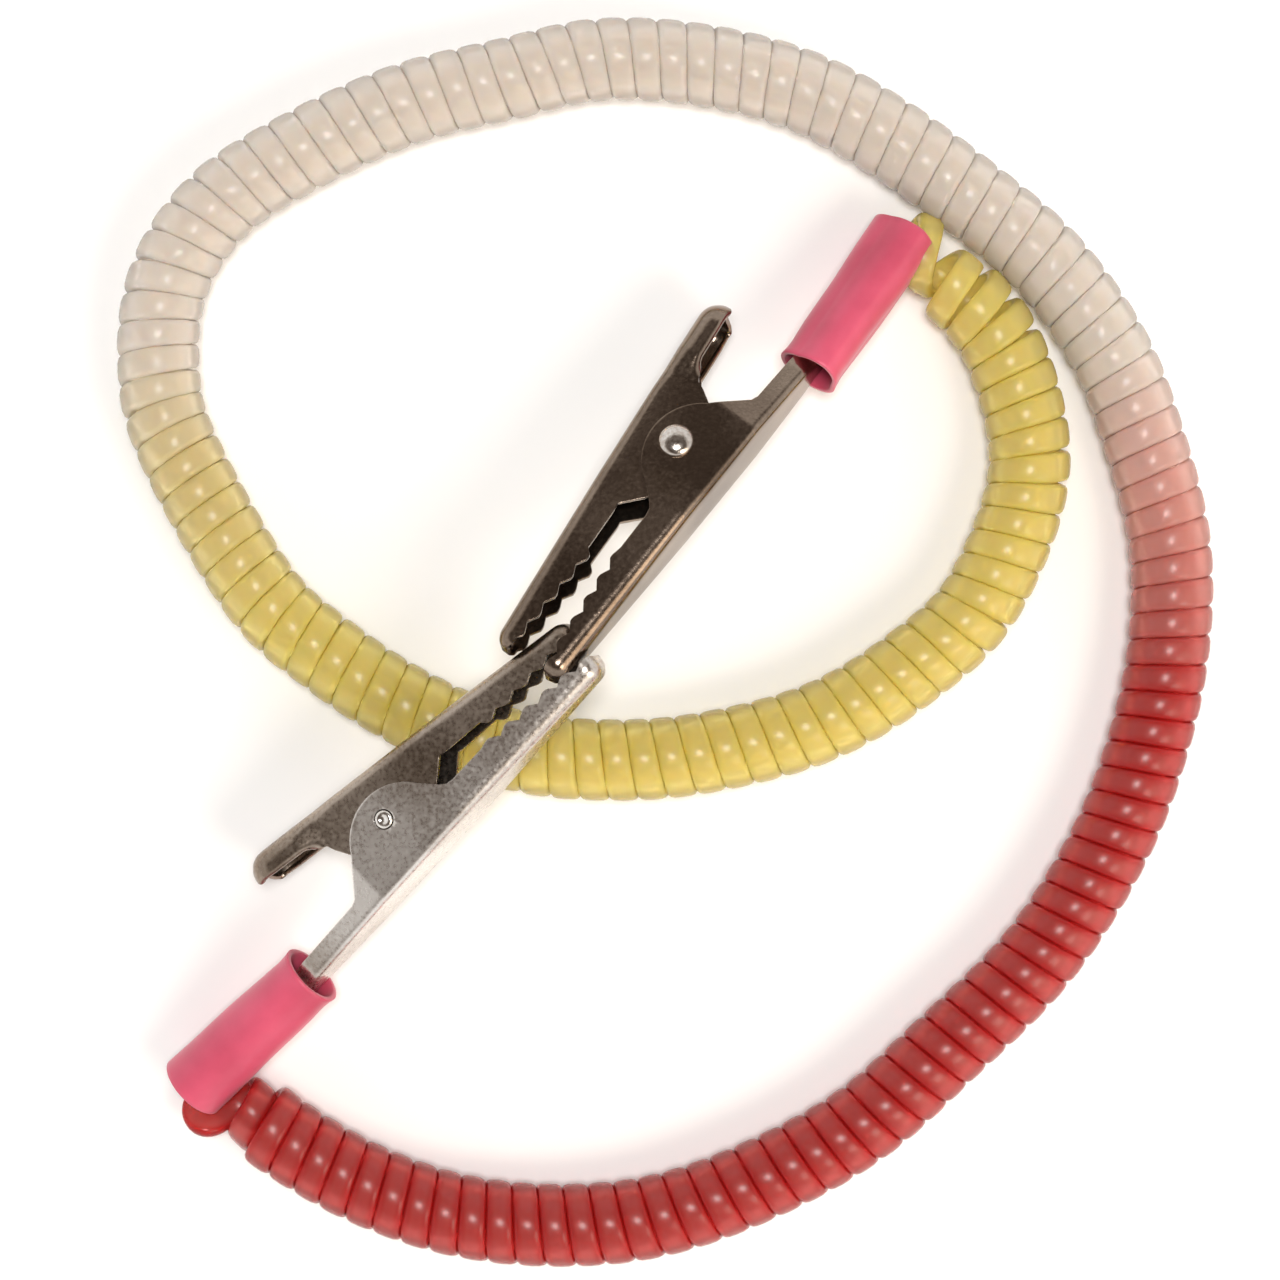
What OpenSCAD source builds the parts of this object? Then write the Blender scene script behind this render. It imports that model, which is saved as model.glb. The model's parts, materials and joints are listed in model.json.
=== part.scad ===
// Coiled clip cord: a relaxed curly cord with a spring clip and a soft sleeve at each end.
// Each clip has a barrel jaw with ears, a lever jaw that turns on a rivet, and a torsion spring.
// The two clips bite each other. The second clip is the same as the first, turned over.
// Clip frame: x runs from the tail to the tip, y to the lever's side, z along the rivet.

/* [Clip] */
// Distance from the rivet to the tip of the jaws
nose_x = 25.4; // [24:0.1:27]
// Distance from the rivet to the end of the tail, inside the sleeve
tail_x = 25; // [22:0.5:28]
// Thickness of the plated sheet
sheet_t = 0.5; // [0.4:0.05:0.6]
// Width over the barrel jaw's ears
ear_w = 7.2; // [6.8:0.1:7.6]
// Width over both noses
nose_w = 4.2; // [3.8:0.1:4.6]
// Width of the barrel jaw's tail outside the sleeve
tail_w = 5.0; // [4.6:0.1:5.2]
// Width of the tail inside the sleeve
crimp_w = 4.0; // [3.6:0.1:4.2]
// Distance from the rivet's axis down to the barrel jaw's back
barrel_back = 5.6; // [5.4:0.05:5.8]
// Distance from the rivet's axis up to the lever jaw's back
lever_back = 5.15; // [5.0:0.05:5.3]
// Distance from one tooth to the next
tooth_pitch = 2.4; // [2.2:0.05:2.5]
// Height of a tooth
tooth_h = 0.7; // [0.6:0.05:0.8]

/* [Rivet and spring] */
// Diameter of the rivet's shank
rivet_d = 1.8; // [1.6:0.1:2.0]
// Diameter of the rivet's domed head
rivet_head_d = 3.4; // [3.0:0.1:3.8]
// Diameter of the spring's wire
wire_d = 0.8; // [0.6:0.05:0.9]

/* [Pose of the clips] */
// Angle from the barrel jaw's back to the lever jaw's back, first clip
lever_tilt_a = 9.7; // [9:0.1:10]
// The same angle on the second clip
lever_tilt_b = 6.9; // [6:0.1:7]
// Rise of each clip from its tail to its tip
clip_pitch = 13.5; // [13:0.1:14]
// Lean of the first clip to its lever's side
clip_roll_a = 11; // [9:0.5:13]
// Lean of the second clip to its lever's side
clip_roll_b = 13; // [11:0.5:15]

/* [Sleeve] */
// Length of a sleeve
sleeve_l = 17.5; // [16:0.5:19]
// Outer diameter at the sleeve's mouth, by the clip
sleeve_mouth_d = 6.3; // [6.1:0.1:6.5]
// Outer diameter at the sleeve's far end
sleeve_end_d = 7.0; // [6.8:0.1:7.2]
// Thickness of the sleeve's wall
sleeve_t = 0.5; // [0.4:0.05:0.55]

/* [Cord] */
// Outer diameter of the coil
coil_d = 8.2; // [7.8:0.1:8.4]
// Width of the cord that is wound into the coil
cord_d = 2.6; // [2.2:0.1:2.8]

/* [Hidden] */
$fn = 48;

hinge_gap = 0.05;      // radial play of the rivet in the ears
ear_gap = 0.1;         // side play between the two pairs of ears
bend_r = 0.9;          // outer radius where a back wall turns into a side wall
hull_fn = 32;
thin = 0.02;
reach = 12;            // taller than any jaw
ear_r = 5.9;           // radius of the barrel jaw's ears
ear_y = -3.2;          // centre of that radius
tail_top = -3.4;       // free edge of the tail's channel
lever_ear_w = ear_w - 2 * sheet_t - 2 * ear_gap;
thumb_w = 7.0;
thumb_x = 15.3;
sleeve_mouth = [[-17.9, -4.4, 0], [-14.8, -5.05, 0]];
sleeve_turn = 176;     // direction of the sleeve in the clip's frame
ring_sides = 12;
tail_sides = 8;

// Places of the rivets, and the direction of each clip from its tail to its tip.
rivet_at = [[-14.8, -14.8, 11.1], [12.5, 20.5, 11.1]];
heading = [47.4, 231.1];
roll = [-clip_roll_a, 180 + clip_roll_b];
tilt = [lever_tilt_a, lever_tilt_b];

// Route of the coil's middle, from the red end to the yellow end. It lies on the table.
coil_route = [
    [-31.2, -43.6], [-26.2, -47.6], [-18.2, -52.1], [-9.2, -55.1], [0.8, -56.1], [10.8, -55.1],
    [20.8, -51.6], [30.8, -46.1], [39.3, -38.6], [48.8, -29.1], [55.8, -18.1], [59.8, -7.6],
    [61.8, 2.4], [61.8, 12.4], [59.3, 22.4], [55.8, 31.4], [49.8, 39.9], [42.3, 46.4],
    [33.3, 52.9], [24.8, 57.4], [14.8, 59.9], [4.8, 60.4], [-4.7, 58.4], [-14.7, 55.9],
    [-24.7, 51.4], [-33.2, 45.9], [-38.2, 38.4], [-39.2, 29.4], [-37.2, 21.4], [-29.2, 7.4],
    [-22.2, 0.9], [-13.7, -4.6], [-3.7, -8.6], [6.8, -9.6], [16.8, -8.6], [27.3, -5.6],
    [36.3, -0.1], [43.3, 6.9], [47.8, 19.4], [45.3, 31.4], [39.8, 38.4]
];

// Turns a point from a clip's frame to the model's frame.
function turn_x(p, a) = [p[0], p[1] * cos(a) - p[2] * sin(a), p[1] * sin(a) + p[2] * cos(a)];
function turn_y(p, a) = [p[0] * cos(a) + p[2] * sin(a), p[1], p[2] * cos(a) - p[0] * sin(a)];
function turn_z(p, a) = [p[0] * cos(a) - p[1] * sin(a), p[0] * sin(a) + p[1] * cos(a), p[2]];
function placed(c, p) =
    rivet_at[c] + turn_z(turn_y(turn_x(p, roll[c]), -clip_pitch), heading[c]);

function arc(centre, r, from, to, steps) = [
    for (i = [0:steps]) let (a = from + (to - from) * i / steps)
        [centre[0] + r * cos(a), centre[1] + r * sin(a)]
];

// A smooth curve through all the points of a list, and the same curve cut into rings.
function smooth(a, b, c, d, t) =
    0.5 * (2 * b + (c - a) * t + (2 * a - 5 * b + 4 * c - d) * t * t
        + (3 * b - a - 3 * c + d) * t * t * t);
function at(pts, i) = pts[max(0, min(len(pts) - 1, i))];
function curve(pts, steps) = [
    for (i = [0:len(pts) - 2]) for (s = [0:steps - 1])
        smooth(at(pts, i - 1), pts[i], pts[i + 1], at(pts, i + 2), s / steps),
    pts[len(pts) - 1]
];
function unit(v) = v / norm(v);
function heading_at(path, i) =
    unit(path[min(len(path) - 1, i + 1)] - path[max(0, i - 1)]);

// A round tube along a path, as one closed solid.
module tube_along(path, d, sides) {
    last = len(path) - 1;
    rings = [
        for (i = [0:last]) let (
            f = heading_at(path, i),
            s = unit(cross(f, [0, 0, 1])),
            u = cross(s, f)
        ) for (k = [0:sides - 1]) let (a = 360 * k / sides)
            path[i] + d / 2 * (s * cos(a) + u * sin(a))
    ];
    walls = [
        for (i = [0:last - 1]) for (k = [0:sides - 1]) let (n = (k + 1) % sides)
            [i * sides + k, (i + 1) * sides + k, (i + 1) * sides + n, i * sides + n]
    ];
    caps = [
        [for (k = [0:sides - 1]) k],
        [for (k = [sides - 1:-1:0]) last * sides + k]
    ];
    polyhedron(points = rings, faces = concat(walls, caps), convexity = 6);
}

// Places a clip's pieces, which are drawn in the clip's frame.
module place(c) {
    translate(rivet_at[c]) rotate([0, 0, heading[c]]) rotate([0, -clip_pitch, 0])
        rotate([roll[c], 0, 0]) children();
}

// A stretch of channel between two stations, with both back corners rounded.
// side is -1 for a back below the rivet and 1 for a back above it.
module channel(x0, w0, x1, w1, back, side) {
    hull() for (s = [[x0, w0], [x1, w1]]) for (z = [-1, 1]) {
        translate([s[0], side * (back - bend_r), z * (s[1] / 2 - bend_r)])
            rotate([0, 90, 0]) cylinder(r = bend_r, h = thin, center = true, $fn = hull_fn);
        translate([s[0], -side * reach / 2, z * (s[1] / 2 - bend_r)])
            cube([thin, reach, 2 * bend_r], center = true);
    }
}

// The hollow of a jaw, seen from its back: the same stations, one sheet inside.
module hollow(stations, back, side, end_x) {
    inner = [for (s = stations) [min(s[0], end_x), s[1] / 2 - sheet_t]];
    flat = concat(inner, [for (i = [len(inner) - 1:-1:0]) [inner[i][0], -inner[i][1]]]);
    y0 = side < 0 ? -(back - sheet_t) : -reach;
    translate([0, y0 + reach + back - sheet_t, 0]) rotate([90, 0, 0])
        linear_extrude(height = reach + back - sheet_t) polygon(flat);
}

// The teeth along a free edge, from the tip back to the first one.
function teeth(count, last_x, peak_y, step_y, rise) = [
    for (i = [0:count - 1]) each [
        [last_x - i * tooth_pitch, peak_y + i * step_y],
        [last_x - (i + 0.5) * tooth_pitch, peak_y + (i + 0.5) * step_y + rise]
    ]
];

// Side view of the barrel jaw.
barrel_outline = concat(
    [[-tail_x, -barrel_back], [nose_x - 1.2, -barrel_back]],
    arc([nose_x - 1.2, 1.2 - barrel_back], 1.2, -90, 0, 6),
    teeth(6, nose_x - 0.5, -3.48, 0.17, -tooth_h),
    [[11.8, -2.8], [7.8, -2.8], [6.6, -1.9]],
    arc([0, ear_y], ear_r, 33, 147, 20),
    [[-8.3, tail_top], [-tail_x, tail_top]]
);
// Side view of the lever jaw, with its back level.
lever_outline = concat(
    [[-13.2, lever_back], [-14.6, 4.7], [-15.2, 4.0], [-thumb_x, 3.1], [-14.8, 2.4],
        [-12.7, 2.0], [-9.1, 1.9], [-6.7, 1.4], [-6.2, 0.6], [-4.9, -1.0], [-2.5, -2.4],
        [0, -2.9], [2.5, -2.4], [6.2, -0.4], [8.1, 1.75], [13.3, 2.2]],
    [for (i = [0:4]) each [
        [14.2 + i * tooth_pitch, 1.6 + 0.36 * i],
        [14.2 + (i + 0.5) * tooth_pitch, 1.6 + 0.36 * (i + 0.5) + tooth_h]
    ]],
    [[nose_x - 0.3, 3.3], [nose_x, 3.8]],
    arc([nose_x - 1.1, lever_back - 1.1], 1.1, 0, 90, 6)
);
// The tail narrows just before the sleeve's mouth.
function barrel_stations(c) = [
    [-tail_x - 1, crimp_w], [sleeve_mouth[c][0] - 0.1, crimp_w],
    [sleeve_mouth[c][0] + 1.2, tail_w], [-9, tail_w],
    [-5.6, ear_w], [5.6, ear_w], [nose_x, nose_w]
];
lever_stations = [
    [-thumb_x - 1, thumb_w], [-9, thumb_w], [-6.4, lever_ear_w], [5.6, lever_ear_w],
    [nose_x, nose_w]
];

// The jaw with the ears outside and the tail that the sleeve covers.
module barrel_jaw(c) {
    stations = barrel_stations(c);
    last = len(stations) - 2;
    place(c) difference() {
        intersection() {
            linear_extrude(height = 2 * reach, center = true) polygon(barrel_outline);
            for (i = [0:last]) channel(
                stations[i][0], stations[i][1],
                stations[i + 1][0], stations[i + 1][1], barrel_back, -1);
        }
        hollow(stations, barrel_back, -1, nose_x - sheet_t);
        cylinder(d = rivet_d + 2 * hinge_gap, h = 2 * reach, center = true);
    }
}

// The jaw with the thumb pad and the ears inside.
module lever_jaw(c) {
    last = len(lever_stations) - 2;
    place(c) rotate([0, 0, -tilt[c]]) difference() {
        intersection() {
            linear_extrude(height = 2 * reach, center = true) polygon(lever_outline);
            for (i = [0:last]) channel(
                lever_stations[i][0], lever_stations[i][1],
                lever_stations[i + 1][0], lever_stations[i + 1][1], lever_back, 1);
        }
        hollow(lever_stations, lever_back, 1, nose_x - sheet_t);
        cylinder(d = rivet_d + 2 * hinge_gap, h = 2 * reach, center = true);
    }
}

// Shank with a domed head on one side and a small peened end on the other.
module rivet(c) {
    head_h = 0.8;
    head_r = rivet_head_d / 2;
    dome_r = (head_r * head_r + head_h * head_h) / (2 * head_h);
    place(c) {
        cylinder(d = rivet_d, h = ear_w + 0.5, center = true);
        translate([0, 0, -ear_w / 2]) rotate([180, 0, 0]) intersection() {
            translate([0, 0, head_h - dome_r]) sphere(r = dome_r);
            cylinder(r = head_r, h = 2 * head_h);
        }
    }
}

// Torsion spring: its winding round the rivet and one leg on each back wall.
module spring(c) {
    coil_r = 2.3;
    leg_x = 7.5;
    winding_h = 4.0;
    place(c) {
        difference() {
            cylinder(r = coil_r, h = winding_h, center = true);
            cylinder(r = coil_r - wire_d, h = winding_h + 1, center = true);
        }
        spring_leg([0, -1.9, -1.5], [leg_x, 0.7 + wire_d / 2 - barrel_back, -1.5]);
        spring_leg([0, 1.9, 1.5], [leg_x, leg_rest_y(leg_x, tilt[c]), 1.5]);
    }
}
// Height of the lever jaw's inner back wall over a point, less the wire's radius.
function leg_rest_y(x, a) = (lever_back - sheet_t - 0.2) / cos(a) - x * tan(a) - wire_d / 2;
module spring_leg(from, to) {
    way = to - from;
    translate(from) rotate([0, 0, atan2(way[1], way[0])]) rotate([0, 90, 0])
        cylinder(d = wire_d, h = norm(way));
}

// Soft sleeve over the tail.
module sleeve(c) {
    place(c) translate(sleeve_mouth[c]) rotate([0, 0, sleeve_turn]) rotate([0, 90, 0]) difference() {
        cylinder(d1 = sleeve_mouth_d, d2 = sleeve_end_d, h = sleeve_l);
        translate([0, 0, -thin]) cylinder(d1 = sleeve_mouth_d - 2 * sleeve_t,
            d2 = sleeve_end_d - 2 * sleeve_t, h = sleeve_l + 2 * thin);
    }
}

// The cord's straight end: held behind the clip's tail, then out of the sleeve and into the coil.
function sleeve_point(c, s) = sleeve_mouth[c] + s * [cos(sleeve_turn), sin(sleeve_turn), 0];
module cord_tail(c) {
    coil_end = c == 0 ? coil_route[0] : coil_route[len(coil_route) - 1];
    coil_next = c == 0 ? coil_route[1] : coil_route[len(coil_route) - 2];
    way = unit(coil_next - coil_end);
    out = placed(c, sleeve_point(c, sleeve_l + 1.5));
    // The cord joins the coil low down, on the side away from the sleeve.
    side = (c == 0 ? -1 : 1) * (coil_d - cord_d) / 2 * [-way[1], way[0]];
    join = [coil_end[0] + side[0], coil_end[1] + side[1], coil_d / 2 - 1.8];
    ahead = [way[0], way[1], 0];
    beyond = unit(out - placed(c, sleeve_point(c, sleeve_l)));
    route = [
        placed(c, sleeve_point(c, 11)), placed(c, sleeve_point(c, 13.5)), out,
        (out + join) / 2 + beyond * 1.4, join + ahead * 0.6
    ];
    tube_along(curve(route, 4), cord_d * 0.9, tail_sides);
}

// Outer shape of the wound cord.
module coil_cord() {
    flat = curve(coil_route, 2);
    path = [for (p = flat) [p[0], p[1], coil_d / 2]];
    color([0.78, 0.62, 0.45]) tube_along(path, coil_d, ring_sides);
}

module barrel_jaw_red() { color([0.72, 0.70, 0.68]) barrel_jaw(0); }
module lever_jaw_red() { color([0.80, 0.78, 0.76]) lever_jaw(0); }
module rivet_red() { color([0.60, 0.58, 0.56]) rivet(0); }
module spring_red() { color([0.50, 0.50, 0.50]) spring(0); }
module sleeve_red() { color([0.84, 0.33, 0.41]) sleeve(0); }
module cord_tail_red() { color([0.72, 0.20, 0.20]) cord_tail(0); }
module barrel_jaw_yellow() { color([0.72, 0.70, 0.68]) barrel_jaw(1); }
module lever_jaw_yellow() { color([0.80, 0.78, 0.76]) lever_jaw(1); }
module rivet_yellow() { color([0.60, 0.58, 0.56]) rivet(1); }
module spring_yellow() { color([0.50, 0.50, 0.50]) spring(1); }
module sleeve_yellow() { color([0.84, 0.33, 0.41]) sleeve(1); }
module cord_tail_yellow() { color([0.80, 0.70, 0.35]) cord_tail(1); }

barrel_jaw_red();
lever_jaw_red();
rivet_red();
spring_red();
sleeve_red();
cord_tail_red();
barrel_jaw_yellow();
lever_jaw_yellow();
rivet_yellow();
spring_yellow();
sleeve_yellow();
cord_tail_yellow();
coil_cord();
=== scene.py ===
"""Looks of a coiled clip cord: a curly cord with a sprung alligator clip at each end.

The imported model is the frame. Its jaws, rivets, springs, sleeves and cord are replaced here by
finished meshes in the same places, with procedural materials. All sizes are in metres.
"""
from __future__ import annotations

import json
import logging
import math
from dataclasses import dataclass, field
from enum import Enum

import bmesh
import bpy
import numpy as np
from bpy.types import Material, Mesh, Node, NodeSocket, NodeTree, Object
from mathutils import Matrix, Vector

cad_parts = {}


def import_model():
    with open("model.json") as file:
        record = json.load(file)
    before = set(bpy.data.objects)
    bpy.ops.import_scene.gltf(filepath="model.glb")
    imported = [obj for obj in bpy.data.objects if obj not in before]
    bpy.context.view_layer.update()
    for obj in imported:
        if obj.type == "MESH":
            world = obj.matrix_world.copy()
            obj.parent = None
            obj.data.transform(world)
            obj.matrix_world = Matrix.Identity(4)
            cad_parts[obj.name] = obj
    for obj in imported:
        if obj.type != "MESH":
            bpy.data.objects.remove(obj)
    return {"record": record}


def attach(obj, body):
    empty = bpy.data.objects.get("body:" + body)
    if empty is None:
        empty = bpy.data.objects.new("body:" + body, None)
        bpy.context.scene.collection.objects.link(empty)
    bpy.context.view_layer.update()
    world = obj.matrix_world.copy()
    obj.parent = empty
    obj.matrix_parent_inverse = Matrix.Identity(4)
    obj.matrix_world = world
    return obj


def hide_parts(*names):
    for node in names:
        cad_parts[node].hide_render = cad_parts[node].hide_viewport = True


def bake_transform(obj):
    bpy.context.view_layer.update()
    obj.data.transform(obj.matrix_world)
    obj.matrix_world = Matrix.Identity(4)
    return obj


LOG = logging.getLogger("clip_cord")
MM = 0.001
UP = np.array([0.0, 0.0, 1.0])
Triple = tuple[float, float, float]


class End(Enum):
    """The two ends of the cord, named by the dye there."""

    RED = "red"
    YELLOW = "yellow"


# -------- shared mesh helpers
def unit(v: np.ndarray) -> np.ndarray:
    """Scale a vector to length one."""
    return v / np.linalg.norm(v)


def smoothstep(t: np.ndarray | float) -> np.ndarray | float:
    """Ease a value from 0 to 1."""
    t = np.clip(t, 0.0, 1.0)
    return t * t * (3 - 2 * t)


def rounded_in(past: np.ndarray, run: float, depth: float) -> np.ndarray:
    """How far an elliptical end is drawn in.

    Args:
        past: place along the piece, 0 at its end and negative before it.
        run: length of the rounded stretch.
        depth: how far the very end is drawn in.

    Returns:
        0 before the rounded stretch, rising to depth at the end.
    """
    t = np.clip((past + run) / run, 0, 1)
    return depth * (1 - np.sqrt(1 - t ** 2))


def run_along(points: np.ndarray) -> np.ndarray:
    """Distance of each point from the first, along their line."""
    return np.concatenate([[0], np.cumsum(np.linalg.norm(np.diff(points, axis=0), axis=1))])


def moving_mean(values: np.ndarray, reach: int) -> np.ndarray:
    """Mean of each value and reach neighbours on each side."""
    count = 2 * reach + 1
    return np.convolve(np.pad(values, reach, "edge"), np.ones(count) / count, "valid")


def strip_faces(rows: int, columns: int, closed: bool) -> list[tuple[int, int, int, int]]:
    """Join rows of points into quads.

    Args:
        rows: number of rows.
        columns: points in each row.
        closed: whether the last point of a row meets its first.

    Returns:
        The quads, as point numbers.
    """
    wide = columns if closed else columns - 1
    return [
        (r * columns + c, r * columns + (c + 1) % columns,
         (r + 1) * columns + (c + 1) % columns, (r + 1) * columns + c)
        for r in range(rows - 1) for c in range(wide)
    ]


def make_piece(name: str, points: np.ndarray, faces: list, material: Material) -> Object:
    """Make a smooth mesh object whose place is in its mesh.

    Args:
        name: the piece's name.
        points: its points in the model's frame.
        faces: its faces, as point numbers.
        material: its material.

    Returns:
        The new object, linked to the scene.
    """
    mesh = bpy.data.meshes.new(name)
    mesh.from_pydata([tuple(map(float, p)) for p in points], [], faces)
    mesh.polygons.foreach_set("use_smooth", [True] * len(mesh.polygons))
    mesh.materials.append(material)
    mesh.update()
    piece = bpy.data.objects.new(name, mesh)
    bpy.context.collection.objects.link(piece)
    return piece


def face_outwards(piece: Object) -> None:
    """Turn a closed mesh's faces outwards."""
    work = bmesh.new()
    work.from_mesh(piece.data)
    bmesh.ops.recalc_face_normals(work, faces=work.faces)
    work.to_mesh(piece.data)
    work.free()


def tube_points(path: np.ndarray, sides: np.ndarray, ups: np.ndarray, outline: np.ndarray
                ) -> np.ndarray:
    """Sweep an outline along a path.

    Args:
        path: N points.
        sides: N unit vectors for the outline's first axis.
        ups: N unit vectors for the outline's second axis.
        outline: M points of the section.

    Returns:
        N * M points, section by section.
    """
    rings = path[:, None] + outline[:, :1] * sides[:, None] + outline[:, 1:] * ups[:, None]
    return rings.reshape(-1, 3)


def rounded_oval(half_w: float, half_h: float, count: int, power: float) -> np.ndarray:
    """Outline between an ellipse and a rectangle.

    Args:
        half_w: half of its width.
        half_h: half of its height.
        count: number of points.
        power: 2 for an ellipse, more for squarer corners.

    Returns:
        The points, anticlockwise.
    """
    a = np.linspace(0, math.tau, count, endpoint=False)
    c, s = np.cos(a), np.sin(a)
    return np.stack([half_w * np.sign(c) * np.abs(c) ** (2 / power),
                     half_h * np.sign(s) * np.abs(s) ** (2 / power)], axis=1)


def through_points(points: np.ndarray, step: float) -> np.ndarray:
    """A smooth curve through all the points, cut evenly.

    Args:
        points: the route's points.
        step: distance between two points of the result.

    Returns:
        Points about step apart, with both ends kept.
    """
    ends = np.vstack([2 * points[0] - points[1], points, 2 * points[-1] - points[-2]])
    fine = []
    for i in range(1, len(ends) - 2):
        a, b, c, d = ends[i - 1:i + 3]
        for t in np.linspace(0, 1, 60, endpoint=False):
            fine.append(0.5 * (2 * b + (c - a) * t + (2 * a - 5 * b + 4 * c - d) * t ** 2
                               + (3 * b - a - 3 * c + d) * t ** 3))
    fine = np.vstack([fine, points[-1:]])
    run = run_along(fine)
    marks = np.linspace(0, run[-1], int(run[-1] / step) + 1)
    return np.stack([np.interp(marks, run, fine[:, k]) for k in range(points.shape[1])], axis=1)


def bezier(p0: np.ndarray, p1: np.ndarray, p2: np.ndarray, p3: np.ndarray, count: int
           ) -> np.ndarray:
    """Points along a cubic curve, without its last one."""
    t = np.linspace(0, 1, count, endpoint=False)[:, None]
    return ((1 - t) ** 3 * p0 + 3 * (1 - t) ** 2 * t * p1 + 3 * (1 - t) * t ** 2 * p2 + t ** 3 * p3)


# -------- finishes
def set_inputs(node: Node, values: dict) -> None:
    """Set a node's inputs by their names."""
    for name, value in values.items():
        node.inputs[name].default_value = value


@dataclass(frozen=True)
class Finish:
    """A named material with a principled shader."""

    name: str

    def shader(self, roughness: float, metallic: float = 0.0) -> tuple[Material, NodeTree, Node]:
        """Start the material.

        Args:
            roughness: the surface's mean roughness.
            metallic: 1 for bare metal.

        Returns:
            The material, its node tree and its principled shader.
        """
        material = bpy.data.materials.new(self.name)
        material.use_nodes = True
        tree = material.node_tree
        shader = tree.nodes["Principled BSDF"]
        set_inputs(shader, {"Roughness": roughness, "Metallic": metallic})
        return material, tree, shader

    @staticmethod
    def noise(tree: NodeTree, scale: float, detail: float = 4.0,
              stretch: Triple | None = None) -> Node:
        """Add a noise texture that reads object coordinates.

        Args:
            tree: the material's node tree.
            scale: cycles in a metre.
            detail: octaves of noise.
            stretch: scale of each axis, or None.

        Returns:
            The noise node.
        """
        place = tree.nodes.new("ShaderNodeTexCoord")
        noise = tree.nodes.new("ShaderNodeTexNoise")
        set_inputs(noise, {"Scale": scale, "Detail": detail})
        source = place.outputs["Object"]
        if stretch is not None:
            mapping = tree.nodes.new("ShaderNodeMapping")
            mapping.inputs["Scale"].default_value = stretch
            tree.links.new(source, mapping.inputs["Vector"])
            source = mapping.outputs["Vector"]
        tree.links.new(source, noise.inputs["Vector"])
        return noise

    @staticmethod
    def ramp(tree: NodeTree, source: NodeSocket,
             stops: list | tuple) -> NodeSocket:
        """Turn a value into a colour.

        Args:
            tree: the material's node tree.
            source: the value.
            stops: places from 0 to 1 and their colours.

        Returns:
            The colour's socket.
        """
        node = tree.nodes.new("ShaderNodeValToRGB")
        band = node.color_ramp
        while len(band.elements) < len(stops):
            band.elements.new(0.5)
        for element, (place, colour) in zip(band.elements, stops):
            element.position = place
            element.color = (*colour, 1.0)
        tree.links.new(source, node.inputs["Fac"])
        return node.outputs["Color"]

    @staticmethod
    def spread(tree: NodeTree, source: NodeSocket, low: float, high: float) -> NodeSocket:
        """Map a value from 0..1 to low..high."""
        node = tree.nodes.new("ShaderNodeMapRange")
        set_inputs(node, {"To Min": low, "To Max": high})
        tree.links.new(source, node.inputs["Value"])
        return node.outputs["Result"]

    @staticmethod
    def bump(tree: NodeTree, height: NodeSocket, shader: Node,
             strength: float, distance: float) -> None:
        """Give the shader a bump.

        Args:
            tree: the material's node tree.
            height: the height, from 0 to 1.
            shader: the principled shader.
            strength: how much of the bump shows.
            distance: its depth in metres.
        """
        node = tree.nodes.new("ShaderNodeBump")
        set_inputs(node, {"Strength": strength, "Distance": distance})
        tree.links.new(height, node.inputs["Height"])
        tree.links.new(node.outputs["Normal"], shader.inputs["Normal"])


@dataclass(frozen=True)
class NickelPlate(Finish):
    """Bright nickel plating with fine scratches, dull specks and a warm tint."""

    bright: Triple = (0.78, 0.74, 0.70)
    dull: Triple = (0.46, 0.40, 0.35)
    smooth: float = 0.18
    worn: float = 0.40
    speckle: float = 0.30
    cloud_scale: float = 90.0
    speck_scale: float = 2600.0
    pit_scale: float = 4200.0
    scratch_scale: float = 900.0

    def make(self) -> Material:
        """Build the material."""
        material, tree, shader = self.shader(self.smooth, 1.0)
        link = tree.links.new
        cloud = self.noise(tree, self.cloud_scale, 2.0)
        specks = self.noise(tree, self.speck_scale, 3.0)
        tone = tree.nodes.new("ShaderNodeMix")
        tone.inputs[0].default_value = self.speckle
        link(cloud.outputs["Fac"], tone.inputs[2])
        link(specks.outputs["Fac"], tone.inputs[3])
        colour = self.ramp(tree, tone.outputs[0], [(0.38, self.dull), (0.60, self.bright)])
        link(colour, shader.inputs["Base Color"])
        pits = self.noise(tree, self.pit_scale, 2.0)
        rough = self.spread(tree, specks.outputs["Fac"], self.smooth, self.worn)
        link(rough, shader.inputs["Roughness"])
        scratches = self.noise(tree, self.scratch_scale, 2.0, (1.0, 1.0, 0.15))
        both = tree.nodes.new("ShaderNodeMath")
        both.operation = "ADD"
        link(scratches.outputs["Fac"], both.inputs[0])
        link(pits.outputs["Fac"], both.inputs[1])
        self.bump(tree, both.outputs["Value"], shader, 0.22, 0.05 * MM)
        return material


@dataclass(frozen=True)
class SoftVinyl(Finish):
    """Soft satin vinyl with a slight sheen and faint lengthwise marks."""

    deep: Triple = (0.47, 0.05, 0.10)
    light: Triple = (0.62, 0.08, 0.15)
    roughness: float = 0.42

    def make(self) -> Material:
        """Build the material."""
        material, tree, shader = self.shader(self.roughness)
        cloud = self.noise(tree, 130.0, 5.0)
        colour = self.ramp(tree, cloud.outputs["Fac"], [(0.35, self.deep), (0.68, self.light)])
        tree.links.new(colour, shader.inputs["Base Color"])
        set_inputs(shader, {"Subsurface Weight": 0.15, "Subsurface Radius": (1.0, 0.3, 0.3),
                            "Subsurface Scale": 1.0 * MM, "Sheen Weight": 0.15})
        grain = self.noise(tree, 1500.0, 4.0)
        self.bump(tree, grain.outputs["Fac"], shader, 0.25, 0.06 * MM)
        return material


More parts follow.
